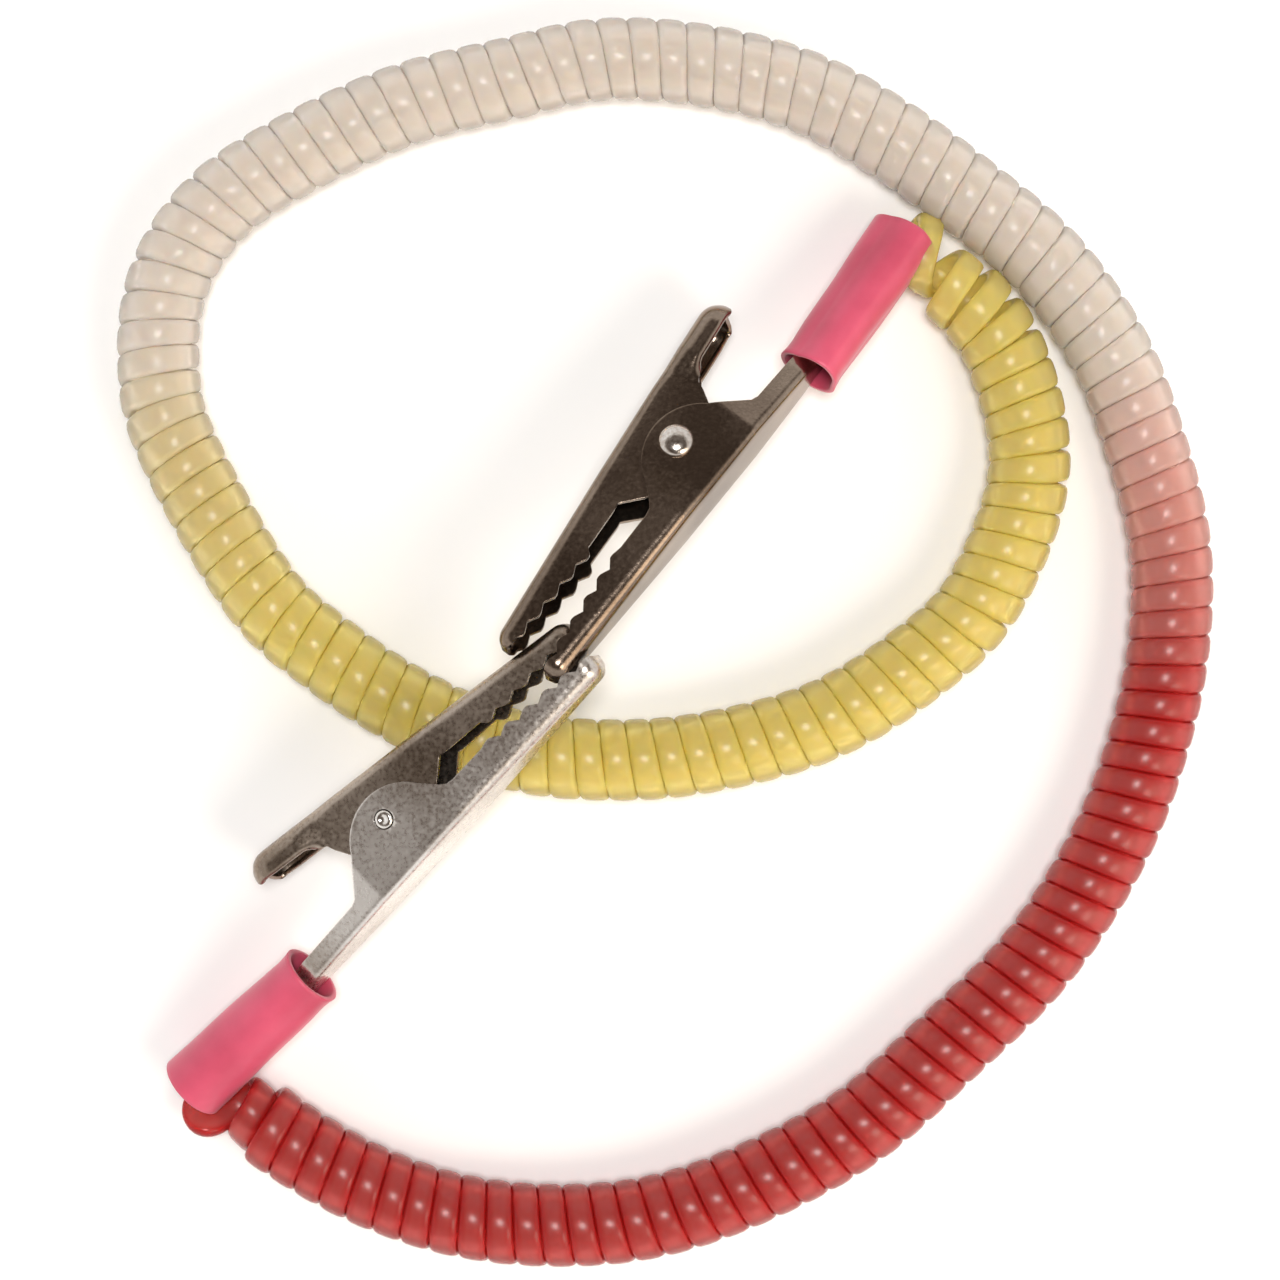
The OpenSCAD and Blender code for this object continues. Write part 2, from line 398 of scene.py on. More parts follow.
@dataclass(frozen=True)
class DyedCord(Finish):
    """Translucent cord plastic, dyed red, left clear and dyed yellow along its length, with painted
    shade: the middle of the ribbon's width is mixed towards grey.
    """

    red: Triple = (0.62, 0.03, 0.028)
    pink: Triple = (0.84, 0.46, 0.40)
    clear: Triple = (0.93, 0.86, 0.79)
    straw: Triple = (0.88, 0.76, 0.40)
    yellow: Triple = (0.93, 0.80, 0.25)
    # Grey mixed into the middle of the ribbon's width as painted shade.
    middle_shade_grey: Triple = (0.74, 0.66, 0.60)
    roughness: float = 0.26

    def make(self) -> Material:
        """Build the material."""
        material, tree, shader = self.shader(self.roughness)
        along = tree.nodes.new("ShaderNodeAttribute")
        along.attribute_name = "along"
        colour = self.ramp(tree, along.outputs["Fac"], [
            (0.0, self.red), (0.292, self.red), (0.335, self.pink), (0.37, self.clear),
            (0.655, self.clear), (0.685, self.straw), (0.73, self.yellow), (1.0, self.yellow)])
        # Painted shade: where flank is low, in the middle of the ribbon's width, the colour is
        # mixed up to 0.14 towards the grey; the sides keep the dye's colour.
        flank = tree.nodes.new("ShaderNodeAttribute")
        flank.attribute_name = "flank"
        middle_shade_amount = tree.nodes.new("ShaderNodeMapRange")
        middle_shade_amount.interpolation_type = "SMOOTHSTEP"
        set_inputs(middle_shade_amount, {"From Min": 0.25, "From Max": 0.95, "To Min": 0.14, "To Max": 0.0})
        link = tree.links.new
        link(flank.outputs["Fac"], middle_shade_amount.inputs["Value"])
        shaded_middle = tree.nodes.new("ShaderNodeMix")
        shaded_middle.data_type = "RGBA"
        link(middle_shade_amount.outputs["Result"], shaded_middle.inputs[0])
        link(colour, shaded_middle.inputs[6])
        shaded_middle.inputs[7].default_value = (*self.middle_shade_grey, 1.0)
        link(shaded_middle.outputs[2], shader.inputs["Base Color"])
        set_inputs(shader, {"Transmission Weight": 0.68, "IOR": 1.3, "Subsurface Weight": 0.6,
                            "Subsurface Radius": (1.0, 0.8, 0.6), "Subsurface Scale": 1.2 * MM})
        grain = self.noise(tree, 700.0, 3.0)
        self.bump(tree, grain.outputs["Fac"], shader, 0.12, 0.08 * MM)
        return material


# -------- the clips' frames
@dataclass(frozen=True)
class ClipFrame:
    """Where a clip is: x runs from its tail to its tip, y to its lever, z along its rivet."""

    end: End
    origin: np.ndarray
    axes: np.ndarray

    @classmethod
    def of(cls, end: End, record: dict) -> ClipFrame:
        """Read a clip's place from its joint and its mouth mount.

        Args:
            end: which end of the cord.
            record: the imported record.

        Returns:
            The clip's frame.
        """
        joint = next(j for j in record["behaviour"]["joints"] if end.value in j["name"])
        mouth = next(m for m in record["mounts"] if end.value in m["name"])
        z = unit(np.array(joint["axis"], float))
        x = np.array(mouth["axis"], float)
        x = unit(x - z * (x @ z))
        return cls(end, np.array(joint["pos_m"], float), np.stack([x, np.cross(z, x), z]))

    def point(self, x: float, y: float, z: float) -> np.ndarray:
        """A point of the clip, in the model's frame."""
        return self.origin + np.array([x, y, z]) @ self.axes

    def points(self, local: np.ndarray) -> np.ndarray:
        """Many points of the clip, in the model's frame."""
        return self.origin + local @ self.axes

    def way(self, x: float, y: float, z: float) -> np.ndarray:
        """A direction of the clip, in the model's frame."""
        return np.array([x, y, z]) @ self.axes


# -------- the cord
@dataclass
class CoilCord:
    """One flat cord wound into a curly coil, with a straight end in each sleeve."""

    ribbon_w: float = 2.6 * MM
    ribbon_t: float = 1.5 * MM
    least_w: float = 2.3 * MM
    most_w: float = 2.95 * MM
    loose_run: float = 16 * MM
    loose: float = 0.38
    turn_gap: float = 0.03 * MM
    coil_d: float = 8.2 * MM
    pitch: float = 2.74 * MM
    steps_per_turn: int = 28
    section_points: int = 16
    start_phase: float = math.radians(205)
    end_phase: float = math.radians(135)
    after: tuple[float, float] = (36.4 * MM, 40.6 * MM)
    lay_in: float = 1.4 * MM
    lean_in: float = 1.0 * MM
    red_reach: float = 3.4 * MM
    yellow_reach: float = 3.2 * MM
    hidden: float = 8 * MM
    squareness: float = 3.3
    axis_step: float = 0.2 * MM
    bend_reach: int = 15
    ease_reach: int = 28
    ease_rounds: int = 30
    route: np.ndarray = field(default_factory=lambda: MM * np.array([
        (-31.2, -43.6), (-26.2, -47.6), (-18.2, -52.1), (-9.2, -55.1), (0.8, -56.1), (10.8, -55.1),
        (20.8, -51.6), (30.8, -46.1), (39.3, -38.6), (48.8, -29.1), (55.8, -18.1), (59.8, -7.6),
        (61.8, 2.4), (61.8, 12.4), (59.3, 22.4), (55.8, 31.4), (49.8, 39.9), (42.3, 46.4),
        (33.3, 52.9), (24.8, 57.4), (14.8, 59.9), (4.8, 60.4), (-4.7, 58.4), (-14.7, 55.9),
        (-24.7, 51.4), (-33.2, 45.9), (-38.2, 38.4), (-39.2, 29.4), (-37.2, 21.4), (-29.2, 7.4),
        (-22.2, 0.9), (-13.7, -4.6), (-3.7, -8.6), (6.8, -9.6), (16.8, -8.6), (27.3, -5.6),
        (36.3, -0.1), (43.3, 6.9), (47.8, 19.4), (45.3, 31.4), (39.8, 38.4)]))

    def helix(self) -> tuple[np.ndarray, np.ndarray, np.ndarray]:
        """Wind the cord round its route.

        Returns:
            The ribbon's middle line, the direction from the coil's axis at each point, and the
            ribbon's width there, which the coil's bends squeeze and stretch a little.
        """
        axis = through_points(np.vstack([self.route, self.after]), self.axis_step)
        step = np.gradient(axis, axis=0)
        run = run_along(axis)
        heading = step / np.linalg.norm(step, axis=1)[:, None]
        angle = np.unwrap(np.arctan2(heading[:, 1], heading[:, 0]))
        bend = moving_mean(np.abs(np.gradient(angle, run)), self.bend_reach)
        radius = (self.coil_d - self.ribbon_t) / 2
        lead = np.maximum(self.pitch, self.least_w / np.clip(1 - bend * radius, 0.5, 1))
        slack = smoothstep((run - run[-1] + self.loose_run) / self.loose_run)
        lead = lead * (1 + self.loose * slack)
        phase = np.concatenate([[0], np.cumsum(np.diff(run) / ((lead[1:] + lead[:-1]) / 2))])
        turns = phase[-1]
        part_turn = (self.end_phase - self.start_phase) / math.tau
        wanted = round(turns - part_turn) + part_turn
        phase = self.start_phase + math.tau * phase * wanted / turns
        marks = np.linspace(phase[0], phase[-1], int(wanted * self.steps_per_turn) + 1)
        centre = np.stack([np.interp(marks, phase, axis[:, 0]), np.interp(marks, phase, axis[:, 1]),
                           np.full(len(marks), self.coil_d / 2)], axis=1)
        turned = np.interp(marks, phase, angle)
        side = np.stack([-np.sin(turned), np.cos(turned), np.zeros(len(marks))], axis=1)
        outward = np.cos(marks)[:, None] * side + np.sin(marks)[:, None] * UP
        curve = np.interp(marks, phase, moving_mean(np.gradient(angle, run), self.bend_reach))
        spacing = np.interp(marks, phase, lead) * (1 - curve * radius * np.cos(marks))
        width = np.clip(spacing - self.turn_gap, self.least_w, self.most_w)
        width += (np.minimum(width, self.ribbon_w) - width) * np.interp(marks, phase, slack)
        LOG.info("coil: %.1f turns", wanted)
        return centre + radius * outward, outward, width

    def build(self, ends: dict[End, tuple[np.ndarray, np.ndarray]], material: Material
              ) -> tuple[Object, np.ndarray]:
        """Make the whole cord.

        Args:
            ends: for each end, the middle of its sleeve's open end and the way out of it.
            material: the cord's plastic.

        Returns:
            The piece and its middle line.
        """
        line, outward, width = self.helix()
        lead_in = self._tail(*ends[End.RED], line[0], unit(line[0] - line[1]),
                             self.red_reach)
        lead_out = self._tail(*ends[End.YELLOW], line[-1], unit(line[-1] - line[-2]),
                              self.yellow_reach)
        path = np.vstack([lead_in, line, lead_out[::-1]])
        first, after = len(lead_in), len(lead_in) + len(line)
        path = self._eased(path, (first, after))
        tangent = np.gradient(path, axis=0)
        tangent /= np.linalg.norm(tangent, axis=1)[:, None]
        radial = np.zeros_like(path)
        radial[first:after] = outward
        for i in range(first - 1, -1, -1):
            radial[i] = radial[i + 1]
            radial[i] = unit(radial[i] - tangent[i] * (radial[i] @ tangent[i]))
        for i in range(after, len(path)):
            radial[i] = unit(radial[i - 1] - tangent[i] * (radial[i - 1] @ tangent[i]))
        radial -= tangent * np.sum(radial * tangent, axis=1)[:, None]
        radial /= np.linalg.norm(radial, axis=1)[:, None]
        across = np.cross(tangent, radial)
        widths = np.concatenate([np.full(len(lead_in), self.ribbon_w), width,
                                 np.full(len(lead_out), self.ribbon_w)]) / self.ribbon_w
        outline = rounded_oval(self.ribbon_w / 2, self.ribbon_t / 2, self.section_points,
                               self.squareness)
        points = tube_points(path, across * widths[:, None], radial, outline)
        count = self.section_points
        faces = [f[::-1] for f in strip_faces(len(path), count, True)]
        faces.append(tuple(range(count)))
        faces.append(tuple(reversed(range(len(points) - count, len(points)))))
        piece = make_piece("curly_cord", points, faces, material)
        face_outwards(piece)
        run = run_along(path)
        along = piece.data.attributes.new("along", "FLOAT", "POINT")
        along.data.foreach_set("value", np.repeat(run / run[-1], count).astype(np.float32))
        # flank runs from 0 in the middle of the ribbon's width to 1 at its sides; the cord's
        # material uses it to paint shade into the middle.
        flank = piece.data.attributes.new("flank", "FLOAT", "POINT")
        sides = np.abs(outline[:, 0]) / (self.ribbon_w / 2)
        flank.data.foreach_set("value", np.tile(sides, len(path)).astype(np.float32))
        LOG.info("cord: %.3f m long", run[-1])
        return piece, path

    def _tail(self, end: np.ndarray, out: np.ndarray, joined: np.ndarray, way: np.ndarray,
              reach: float) -> np.ndarray:
        """The cord from inside a sleeve to the coil's first point.

        Args:
            end: middle of the sleeve's open end.
            out: the way out of it.
            joined: the coil's first point.
            way: the coil's direction away from its turns.
            reach: how far the turn swings out.

        Returns:
            The tail's middle line.
        """
        towards = joined - end
        towards = unit((towards - out * (towards @ out)) * (1, 1, 0))
        low = end - UP * self.lay_in + towards * self.lean_in
        straight = np.linspace(low - out * self.hidden, low, 14, endpoint=False)
        turn = bezier(low, low + out * reach, joined + way * reach, joined, 26)
        return np.vstack([straight, turn[:-1]])

    def _eased(self, path: np.ndarray, seams: tuple[int, int]) -> np.ndarray:
        """Smooth the path a little where the tails meet the coil."""
        eased = path.copy()
        for seam in seams:
            lo, hi = max(1, seam - self.ease_reach), min(len(path) - 1, seam + self.ease_reach)
            for _ in range(self.ease_rounds):
                eased[lo:hi] = (eased[lo - 1:hi - 1] + 2 * eased[lo:hi] + eased[lo + 1:hi + 1]) / 4
        return eased


# -------- stage
@dataclass
class Studio:
    """A pale table, soft light from above and a camera that looks straight down."""

    look_at: tuple[float, float] = (8.9 * MM, 2.4 * MM)
    focus_height: float = 4.0 * MM
    distance: float = 0.315
    view_width: float = 0.128
    sensor: float = 36.0
    sky_strength: float = 1.08
    sky: tuple = ((0.0, (0.8, 0.8, 0.8)), (0.3, (0.9, 0.9, 0.9)), (0.55, (1.0, 1.0, 1.0)),
                  (0.62, (0.95, 0.93, 0.9)), (0.70, (0.20, 0.17, 0.15)), (0.85, (0.07, 0.05, 0.04)))

    def build(self) -> None:
        """Make the camera, the lights and the floor."""
        scene = bpy.context.scene
        camera = bpy.data.cameras.new("camera")
        camera.sensor_width = self.sensor
        camera.lens = self.sensor * self.distance / self.view_width
        camera.clip_start = 0.01
        eye = bpy.data.objects.new("camera", camera)
        eye.location = (*self.look_at, self.focus_height + self.distance)
        scene.collection.objects.link(eye)
        scene.camera = eye
        scene.view_settings.view_transform = "Standard"
        self._light("key", (0.015, 0.03, 0.60), 0.13, 2.2, (1.0, 0.99, 0.97))
        self._light("strip", (0.30, -0.25, 0.48), 0.20, 1.0, (1.0, 0.93, 0.83))
        self._light("fill", (0.45, -0.30, 0.40), 0.40, 1.2, (1.0, 0.80, 0.58))
        self._floor()
        world = bpy.data.worlds.new("studio")
        world.use_nodes = True
        self._sky(world.node_tree)
        scene.world = world

    def _sky(self, tree: NodeTree) -> None:
        """A bright ring of sky round a dark middle, which the metal reflects."""
        place = tree.nodes.new("ShaderNodeTexCoord")
        cloud = tree.nodes.new("ShaderNodeTexNoise")
        set_inputs(cloud, {"Scale": 2.2, "Detail": 2.0})
        split = tree.nodes.new("ShaderNodeSeparateXYZ")
        wander = tree.nodes.new("ShaderNodeMath")
        wander.operation = "MULTIPLY_ADD"
        wander.inputs[1].default_value = 0.3
        height = tree.nodes.new("ShaderNodeMapRange")
        set_inputs(height, {"From Min": -0.2, "From Max": 1.3})
        link = tree.links.new
        link(place.outputs["Generated"], cloud.inputs["Vector"])
        link(place.outputs["Generated"], split.inputs["Vector"])
        link(cloud.outputs["Fac"], wander.inputs[0])
        link(split.outputs["Z"], wander.inputs[2])
        link(wander.outputs["Value"], height.inputs["Value"])
        back = tree.nodes["Background"]
        link(Finish.ramp(tree, height.outputs["Result"], self.sky), back.inputs["Color"])
        back.inputs["Strength"].default_value = self.sky_strength

    @staticmethod
    def _light(name: str, place: Triple, size: float, power: float,
               colour: Triple) -> None:
        """Add a square soft light aimed at the middle."""
        data = bpy.data.lights.new(name, "AREA")
        data.size = size
        data.energy = power
        data.color = colour
        lamp = bpy.data.objects.new(name, data)
        lamp.location = place
        lamp.rotation_euler = (-Vector(place)).to_track_quat("-Z", "Y").to_euler()
        bpy.context.collection.objects.link(lamp)

    @staticmethod
    def _floor() -> None:
        """Lay the pale floor just under the object."""
        material = bpy.data.materials.new("pale_floor")
        material.use_nodes = True
        shader = material.node_tree.nodes["Principled BSDF"]
        set_inputs(shader, {"Base Color": (0.93, 0.93, 0.93, 1), "Roughness": 0.7})
        half = 3.0
        corners = np.array([(-half, -half, 0), (half, -half, 0), (half, half, 0), (-half, half, 0)])
        floor = make_piece("floor", corners - UP * 0.05 * MM, [(0, 1, 2, 3)], material)


# -------- the clips' pieces
@dataclass
class SheetJaw:
    """A jaw stamped from thin sheet: an open channel whose free edges carry the teeth.

    Its section is worked out at stations along x. Depth is measured from the outer face of the
    back to the free edge.
    """

    clip: ClipFrame
    nose_x: float = 25.4 * MM
    ear_w: float = 7.2 * MM
    nose_w: float = 4.2 * MM
    sheet_t: float = 0.5 * MM
    tooth_pitch: float = 2.4 * MM
    tooth_h: float = 0.7 * MM
    rivet_hole_r: float = 1.02 * MM
    step: float = 0.2 * MM
    wall_points: int = 9
    bend_points: int = 7
    flat_points: int = 5
    curl_points: int = 7
    curl_length: float = 1.5 * MM
    curl_angle: float = math.radians(140)
    edge_round: float = 0.09 * MM
    nose_run: float = 1.3 * MM
    nose_in: float = 1.1 * MM
    capped_start: bool = False

    def edge(self) -> np.ndarray:
        """The free edge, as x and depth."""
        raise NotImplementedError

    def half(self, x: np.ndarray) -> np.ndarray:
        """Half of the outer width."""
        raise NotImplementedError

    def bend(self, x: np.ndarray) -> np.ndarray:
        """Outer radius of the bend between the back and a side wall."""
        raise NotImplementedError

    def lift(self, x: np.ndarray) -> np.ndarray:
        """How far the back turns in at the ends."""
        raise NotImplementedError

    def curl(self, x: np.ndarray) -> np.ndarray:
        """How much the free edge is curled inwards, from 0 to 1."""
        return np.zeros_like(x)

    def local(self, x: np.ndarray, depth: np.ndarray, z: np.ndarray) -> np.ndarray:
        """Points of the jaw in the clip's frame."""
        raise NotImplementedError

    def teeth(self, first_x: float, count: int, first: float, last: float) -> list:
        """Teeth along the edge.

        Args:
            first_x: place of the first tip.
            count: number of tips.
            first: depth of the first tip.
            last: depth of the last tip.

        Returns:
            Pairs of x and depth, from the first tip to the last.
        """
        points = []
        for i in range(count):
            tip = first + (last - first) * i / (count - 1)
            x = first_x + i * self.tooth_pitch
            blunt = 0.12 * self.tooth_pitch
            points += [(x - blunt, tip - 0.04 * self.tooth_h), (x, tip),
                       (x + blunt, tip - 0.04 * self.tooth_h)]
            if i < count - 1:
                points.append((x + self.tooth_pitch / 2, tip - self.tooth_h))
        return points

    def section(self, x: float, depth: float) -> np.ndarray:
        """Middle line of the sheet at one station, from one free edge to the other.

        Args:
            x: the station.
            depth: depth of the free edge there.

        Returns:
            Points as depth and z.
        """
        place = np.array([x])
        skin = self.sheet_t / 2
        base = skin + float(self.lift(place)[0])
        wide = float(self.half(place)[0]) - skin
        radius = min(float(self.bend(place)[0]) - skin, wide * 0.95, (depth - base) * 0.8)
        wall = max(depth - base - radius, 0.02 * MM)
        curl = float(self.curl(place)[0])
        tail = min(self.curl_length, 0.55 * wall)
        turn = max(curl * self.curl_angle, 1e-3) / tail
        s = np.linspace(tail, 0, self.curl_points, endpoint=False)
        curled = np.stack([base + radius + wall - tail + np.sin(turn * s) / turn,
                           wide - (1 - np.cos(turn * s)) / turn], axis=1)
        d = np.linspace(wall - tail, 0, self.wall_points, endpoint=False)
        straight = np.stack([base + radius + d, np.full(len(d), wide)], axis=1)
        a = np.linspace(0, math.pi / 2, self.bend_points)
        corner = np.stack([base + radius - radius * np.sin(a), wide - radius + radius * np.cos(a)],
                          axis=1)
        half_way = np.vstack([curled, straight, corner])
        z = np.linspace(wide - radius, radius - wide, self.flat_points + 2)[1:-1]
        flat = np.stack([np.full(len(z), base), z], axis=1)
        return np.vstack([half_way, flat, half_way[::-1] * (1, -1)])

    def build(self, name: str, material: Material) -> Object:
        """Make the jaw.

        Args:
            name: the piece's name.
            material: its plating.

        Returns:
            The finished piece.
        """
        edge = self.edge()
        xs = np.unique(np.round(np.concatenate(
            [np.arange(edge[0, 0], edge[-1, 0], self.step), edge[:, 0]]), 7))
        xs = xs[np.concatenate([[True], np.diff(xs) > 0.02 * MM])]
        depths = np.interp(xs, edge[:, 0], edge[:, 1])
        rows = [self.section(x, d) for x, d in zip(xs, depths)]
        columns = len(rows[0])
        flat = np.vstack(rows)
        points = self.clip.points(self.local(np.repeat(xs, columns), flat[:, 0], flat[:, 1]))
        faces = strip_faces(len(rows), columns, False)
        ends = [len(rows) - 1] + ([0] if self.capped_start else [])
        for row in ends:
            first, last = row * columns, row * columns + columns - 1
            faces += [(first + j, first + j + 1, last - j - 1, last - j)
                      for j in range(columns // 2 - 1)]
            middle = columns // 2 - 1
            faces.append((first + middle, first + middle + 1, last - middle))
        piece = make_piece(name, points, faces, material)
        face_outwards(piece)
        return self._finish(piece)

    def _finish(self, piece: Object) -> Object:
        """Thicken the sheet, punch the rivet's hole and round every cut edge."""
        punch = lathe("punch", self.clip, [(0, -5 * MM), (self.rivet_hole_r, -5 * MM),
                                           (self.rivet_hole_r, 5 * MM), (0, 5 * MM)],
                      piece.data.materials[0], 32)
        thick = piece.modifiers.new("thickness", "SOLIDIFY")
        thick.thickness, thick.offset = self.sheet_t, 0.0
        hole = piece.modifiers.new("hole", "BOOLEAN")
        hole.operation, hole.object, hole.solver = "DIFFERENCE", punch, "EXACT"
        round_off = piece.modifiers.new("rounded", "BEVEL")
        round_off.width, round_off.segments = self.edge_round, 2
        round_off.limit_method, round_off.angle_limit = "ANGLE", math.radians(50)
        settle(piece)
        bpy.data.objects.remove(punch)
        return piece


def apply_modifiers(piece: Object) -> Mesh:
    """Apply a piece's modifiers, and return its finished mesh."""
    bpy.context.view_layer.update()
    final = bpy.data.meshes.new_from_object(
        piece.evaluated_get(bpy.context.evaluated_depsgraph_get()))
    piece.modifiers.clear()
    piece.data = final
    return final


def settle(piece: Object) -> None:
    """Apply a piece's modifiers, and weight its normals by face area."""
    piece.modifiers.new("normals", "WEIGHTED_NORMAL").keep_sharp = True
    apply_modifiers(piece)


def lathe(name: str, clip: ClipFrame, profile: list[tuple[float, float]],
          material: Material, around: int = 48) -> Object:
    """Turn a profile round a clip's rivet axis.

    Args:
        name: the piece's name.
        clip: the clip.
        profile: pairs of radius and height; the first and last have radius 0.
        material: the piece's material.
        around: steps in a turn.

    Returns:
        A closed piece.
    """
    a = np.linspace(0, math.tau, around, endpoint=False)
    rings = [clip.points(np.stack([r * np.cos(a), r * np.sin(a), np.full(around, z)], axis=1))
             for r, z in profile[1:-1]]
    poles = [clip.point(0, 0, profile[0][1])[None], clip.point(0, 0, profile[-1][1])[None]]
    faces = strip_faces(len(rings), around, True)
    low = len(rings) * around
    last = low - around
    faces += [(low, (k + 1) % around, k) for k in range(around)]
    faces += [(low + 1, last + k, last + (k + 1) % around) for k in range(around)]
    piece = make_piece(name, np.vstack(rings + poles), faces, material)
    face_outwards(piece)
    return piece


@dataclass
class BarrelJaw(SheetJaw):
    """The jaw with its ears outside and a channel for a tail."""

    back: float = 5.6 * MM
    tail_x: float = 25.0 * MM
    tail_w: float = 5.0 * MM
    crimp_w: float = 4.0 * MM
    tail_depth: float = 2.2 * MM
    mouth_x: float = -16.0 * MM
    ear_r: float = 5.9 * MM
    ear_y: float = -3.2 * MM

    def edge(self) -> np.ndarray:
        """The free edge, from the tail over the ear and along the teeth."""
        a = np.radians(np.linspace(147, 33, 24))
        ear = np.stack([self.ear_r * np.cos(a), self.ear_y + self.back + self.ear_r * np.sin(a)],
                       axis=1)
        slot = [(6.4 * MM, 3.95 * MM), (7.0 * MM, 3.45 * MM), (7.8 * MM, 3.3 * MM),
                (11.8 * MM, 3.3 * MM)]
        first = self.nose_x - 0.5 * MM - 5 * self.tooth_pitch
        teeth = self.teeth(first, 5, 3.5 * MM, 2.5 * MM)
        nose = [(self.nose_x - 1.7 * MM, 1.75 * MM), (self.nose_x - 0.9 * MM, 2.1 * MM),
                (self.nose_x - 0.2 * MM, 2.05 * MM), (self.nose_x, 1.8 * MM)]
        return np.vstack([[(-self.tail_x, self.tail_depth), (-8.6 * MM, self.tail_depth),
                           (-7.9 * MM, 2.45 * MM)], ear, slot, teeth, nose])

    def half(self, x: np.ndarray) -> np.ndarray:
        """Half of the outer width: tail, ears, then narrowing to the nose."""
        crimp = self.mouth_x - 0.1 * MM
        width = np.interp(x, [-self.tail_x, crimp, crimp + 1.3 * MM, -5.6 * MM, 5.6 * MM,
                              self.nose_x],
                          [self.crimp_w, self.crimp_w, self.tail_w, self.ear_w, self.ear_w,
                           self.nose_w])
        return width / 2 - rounded_in(x - self.nose_x, self.nose_run, self.nose_in)

    def bend(self, x: np.ndarray) -> np.ndarray:
        """Tight at the tail, wide and round towards the nose."""
        return np.interp(x, np.array([-25, -8, 6, 25]) * MM, np.array([0.7, 0.75, 1.05, 1.45]) * MM)

    def lift(self, x: np.ndarray) -> np.ndarray:
        """The back turns up at the nose."""
        return rounded_in(x - self.nose_x, 1.2 * MM, 1.1 * MM)

    def local(self, x: np.ndarray, depth: np.ndarray, z: np.ndarray) -> np.ndarray:
        """Points of the jaw in the clip's frame."""
        return np.stack([x, depth - self.back, z], axis=1)


@dataclass
class LeverJaw(SheetJaw):
    """The jaw with its ears inside, a thumb pad, and a tilt."""

    tilt: float = 0.0
    back: float = 5.15 * MM
    inner_w: float = 6.0 * MM
    thumb_w: float = 7.0 * MM
    thumb_x: float = 15.3 * MM
    capped_start: bool = True

    def edge(self) -> np.ndarray:
        """The free edge, from the thumb pad under the rivet and along the teeth."""
        pad = np.array([(-15.3, 1.9), (-15.1, 2.35), (-14.8, 2.55), (-13.8, 2.75), (-12.7, 2.85),
                        (-9.1, 2.95), (-7.6, 3.3), (-6.7, 3.75), (-6.2, 4.55), (-4.9, 6.15),
                        (-3.8, 7.05), (-2.5, 7.6), (-1.2, 7.95), (0, 8.05), (1.2, 7.95),
                        (2.5, 7.6), (4.3, 6.7), (6.2, 5.55), (7.2, 4.4), (8.1, 3.4),
                        (8.7, 3.45), (13.3, 3.2)]) * MM
        teeth = self.teeth(14.2 * MM, 5, 3.75 * MM, 2.3 * MM)
        nose = [(self.nose_x - 0.9 * MM, 1.8 * MM), (self.nose_x - 0.4 * MM, 1.75 * MM),
                (self.nose_x, 1.4 * MM)]
        return np.vstack([pad, teeth, nose])

    def half(self, x: np.ndarray) -> np.ndarray:
        """Half of the outer width: thumb pad, inner ears, then narrowing to the nose."""
        width = np.interp(x, np.array([-15.3, -9, -6.4, 5.6, 25.4]) * MM,
                          [self.thumb_w, self.thumb_w, self.inner_w, self.inner_w, self.nose_w])
        return (width / 2 - rounded_in(x - self.nose_x, self.nose_run, self.nose_in)
                - rounded_in(-x - self.thumb_x, 2.6 * MM, 2.2 * MM))

    def bend(self, x: np.ndarray) -> np.ndarray:
        """Rounder at the thumb pad and at the nose."""
        return np.interp(x, np.array([-15, -9, -4, 8, 25]) * MM,
                         np.array([1.7, 1.5, 0.95, 1.1, 1.4]) * MM)

    def lift(self, x: np.ndarray) -> np.ndarray:
        """The back turns down at the nose and at the thumb's end."""
        return (rounded_in(x - self.nose_x, 1.1 * MM, 0.9 * MM)
                + rounded_in(-x - self.thumb_x, 2.2 * MM, 1.25 * MM))

    def curl(self, x: np.ndarray) -> np.ndarray:
        """Only the thumb pad's flanges are curled in."""
        return smoothstep((-x - 6.9 * MM) / (2.2 * MM)) * smoothstep((x + 15.2 * MM) / (1.2 * MM))

    def local(self, x: np.ndarray, depth: np.ndarray, z: np.ndarray) -> np.ndarray:
        """Points of the jaw in the clip's frame, turned by the lever's tilt."""
        y = self.back - depth
        c, s = math.cos(self.tilt), math.sin(self.tilt)
        return np.stack([x * c + y * s, y * c - x * s, z], axis=1)


@dataclass
class Rivet:
    """A rivet with a domed head on one side and a small peened end on the other."""

    clip: ClipFrame
    shank_r: float = 0.9 * MM
    head_r: float = 1.7 * MM
    head_h: float = 0.8 * MM
    ear_w: float = 7.2 * MM

    def build(self, name: str, material: Material) -> Object:
        """Make the rivet."""
        low, high = -self.ear_w / 2, self.ear_w / 2
        a = np.linspace(0, math.pi / 2, 10)[1:]
        dome = [(self.head_r * math.sin(t), low - 0.08 * MM - self.head_h * math.cos(t)) for t in a]
        shank = [(self.head_r, low - 0.02 * MM), (self.head_r - 0.04 * MM, low),
                 (self.shank_r, low + 0.01 * MM), (self.shank_r, high + 0.02 * MM),
                 (self.shank_r - 0.03 * MM, high + 0.12 * MM),
                 (self.shank_r - 0.14 * MM, high + 0.22 * MM), (0.5 * MM, high + 0.25 * MM),
                 (0.35 * MM, high + 0.17 * MM), (0.15 * MM, high + 0.1 * MM)]
        profile = [(0.0, low - 0.08 * MM - self.head_h)] + dome + shank + [(0.0, high + 0.09 * MM)]
        return lathe(name, self.clip, profile, material)


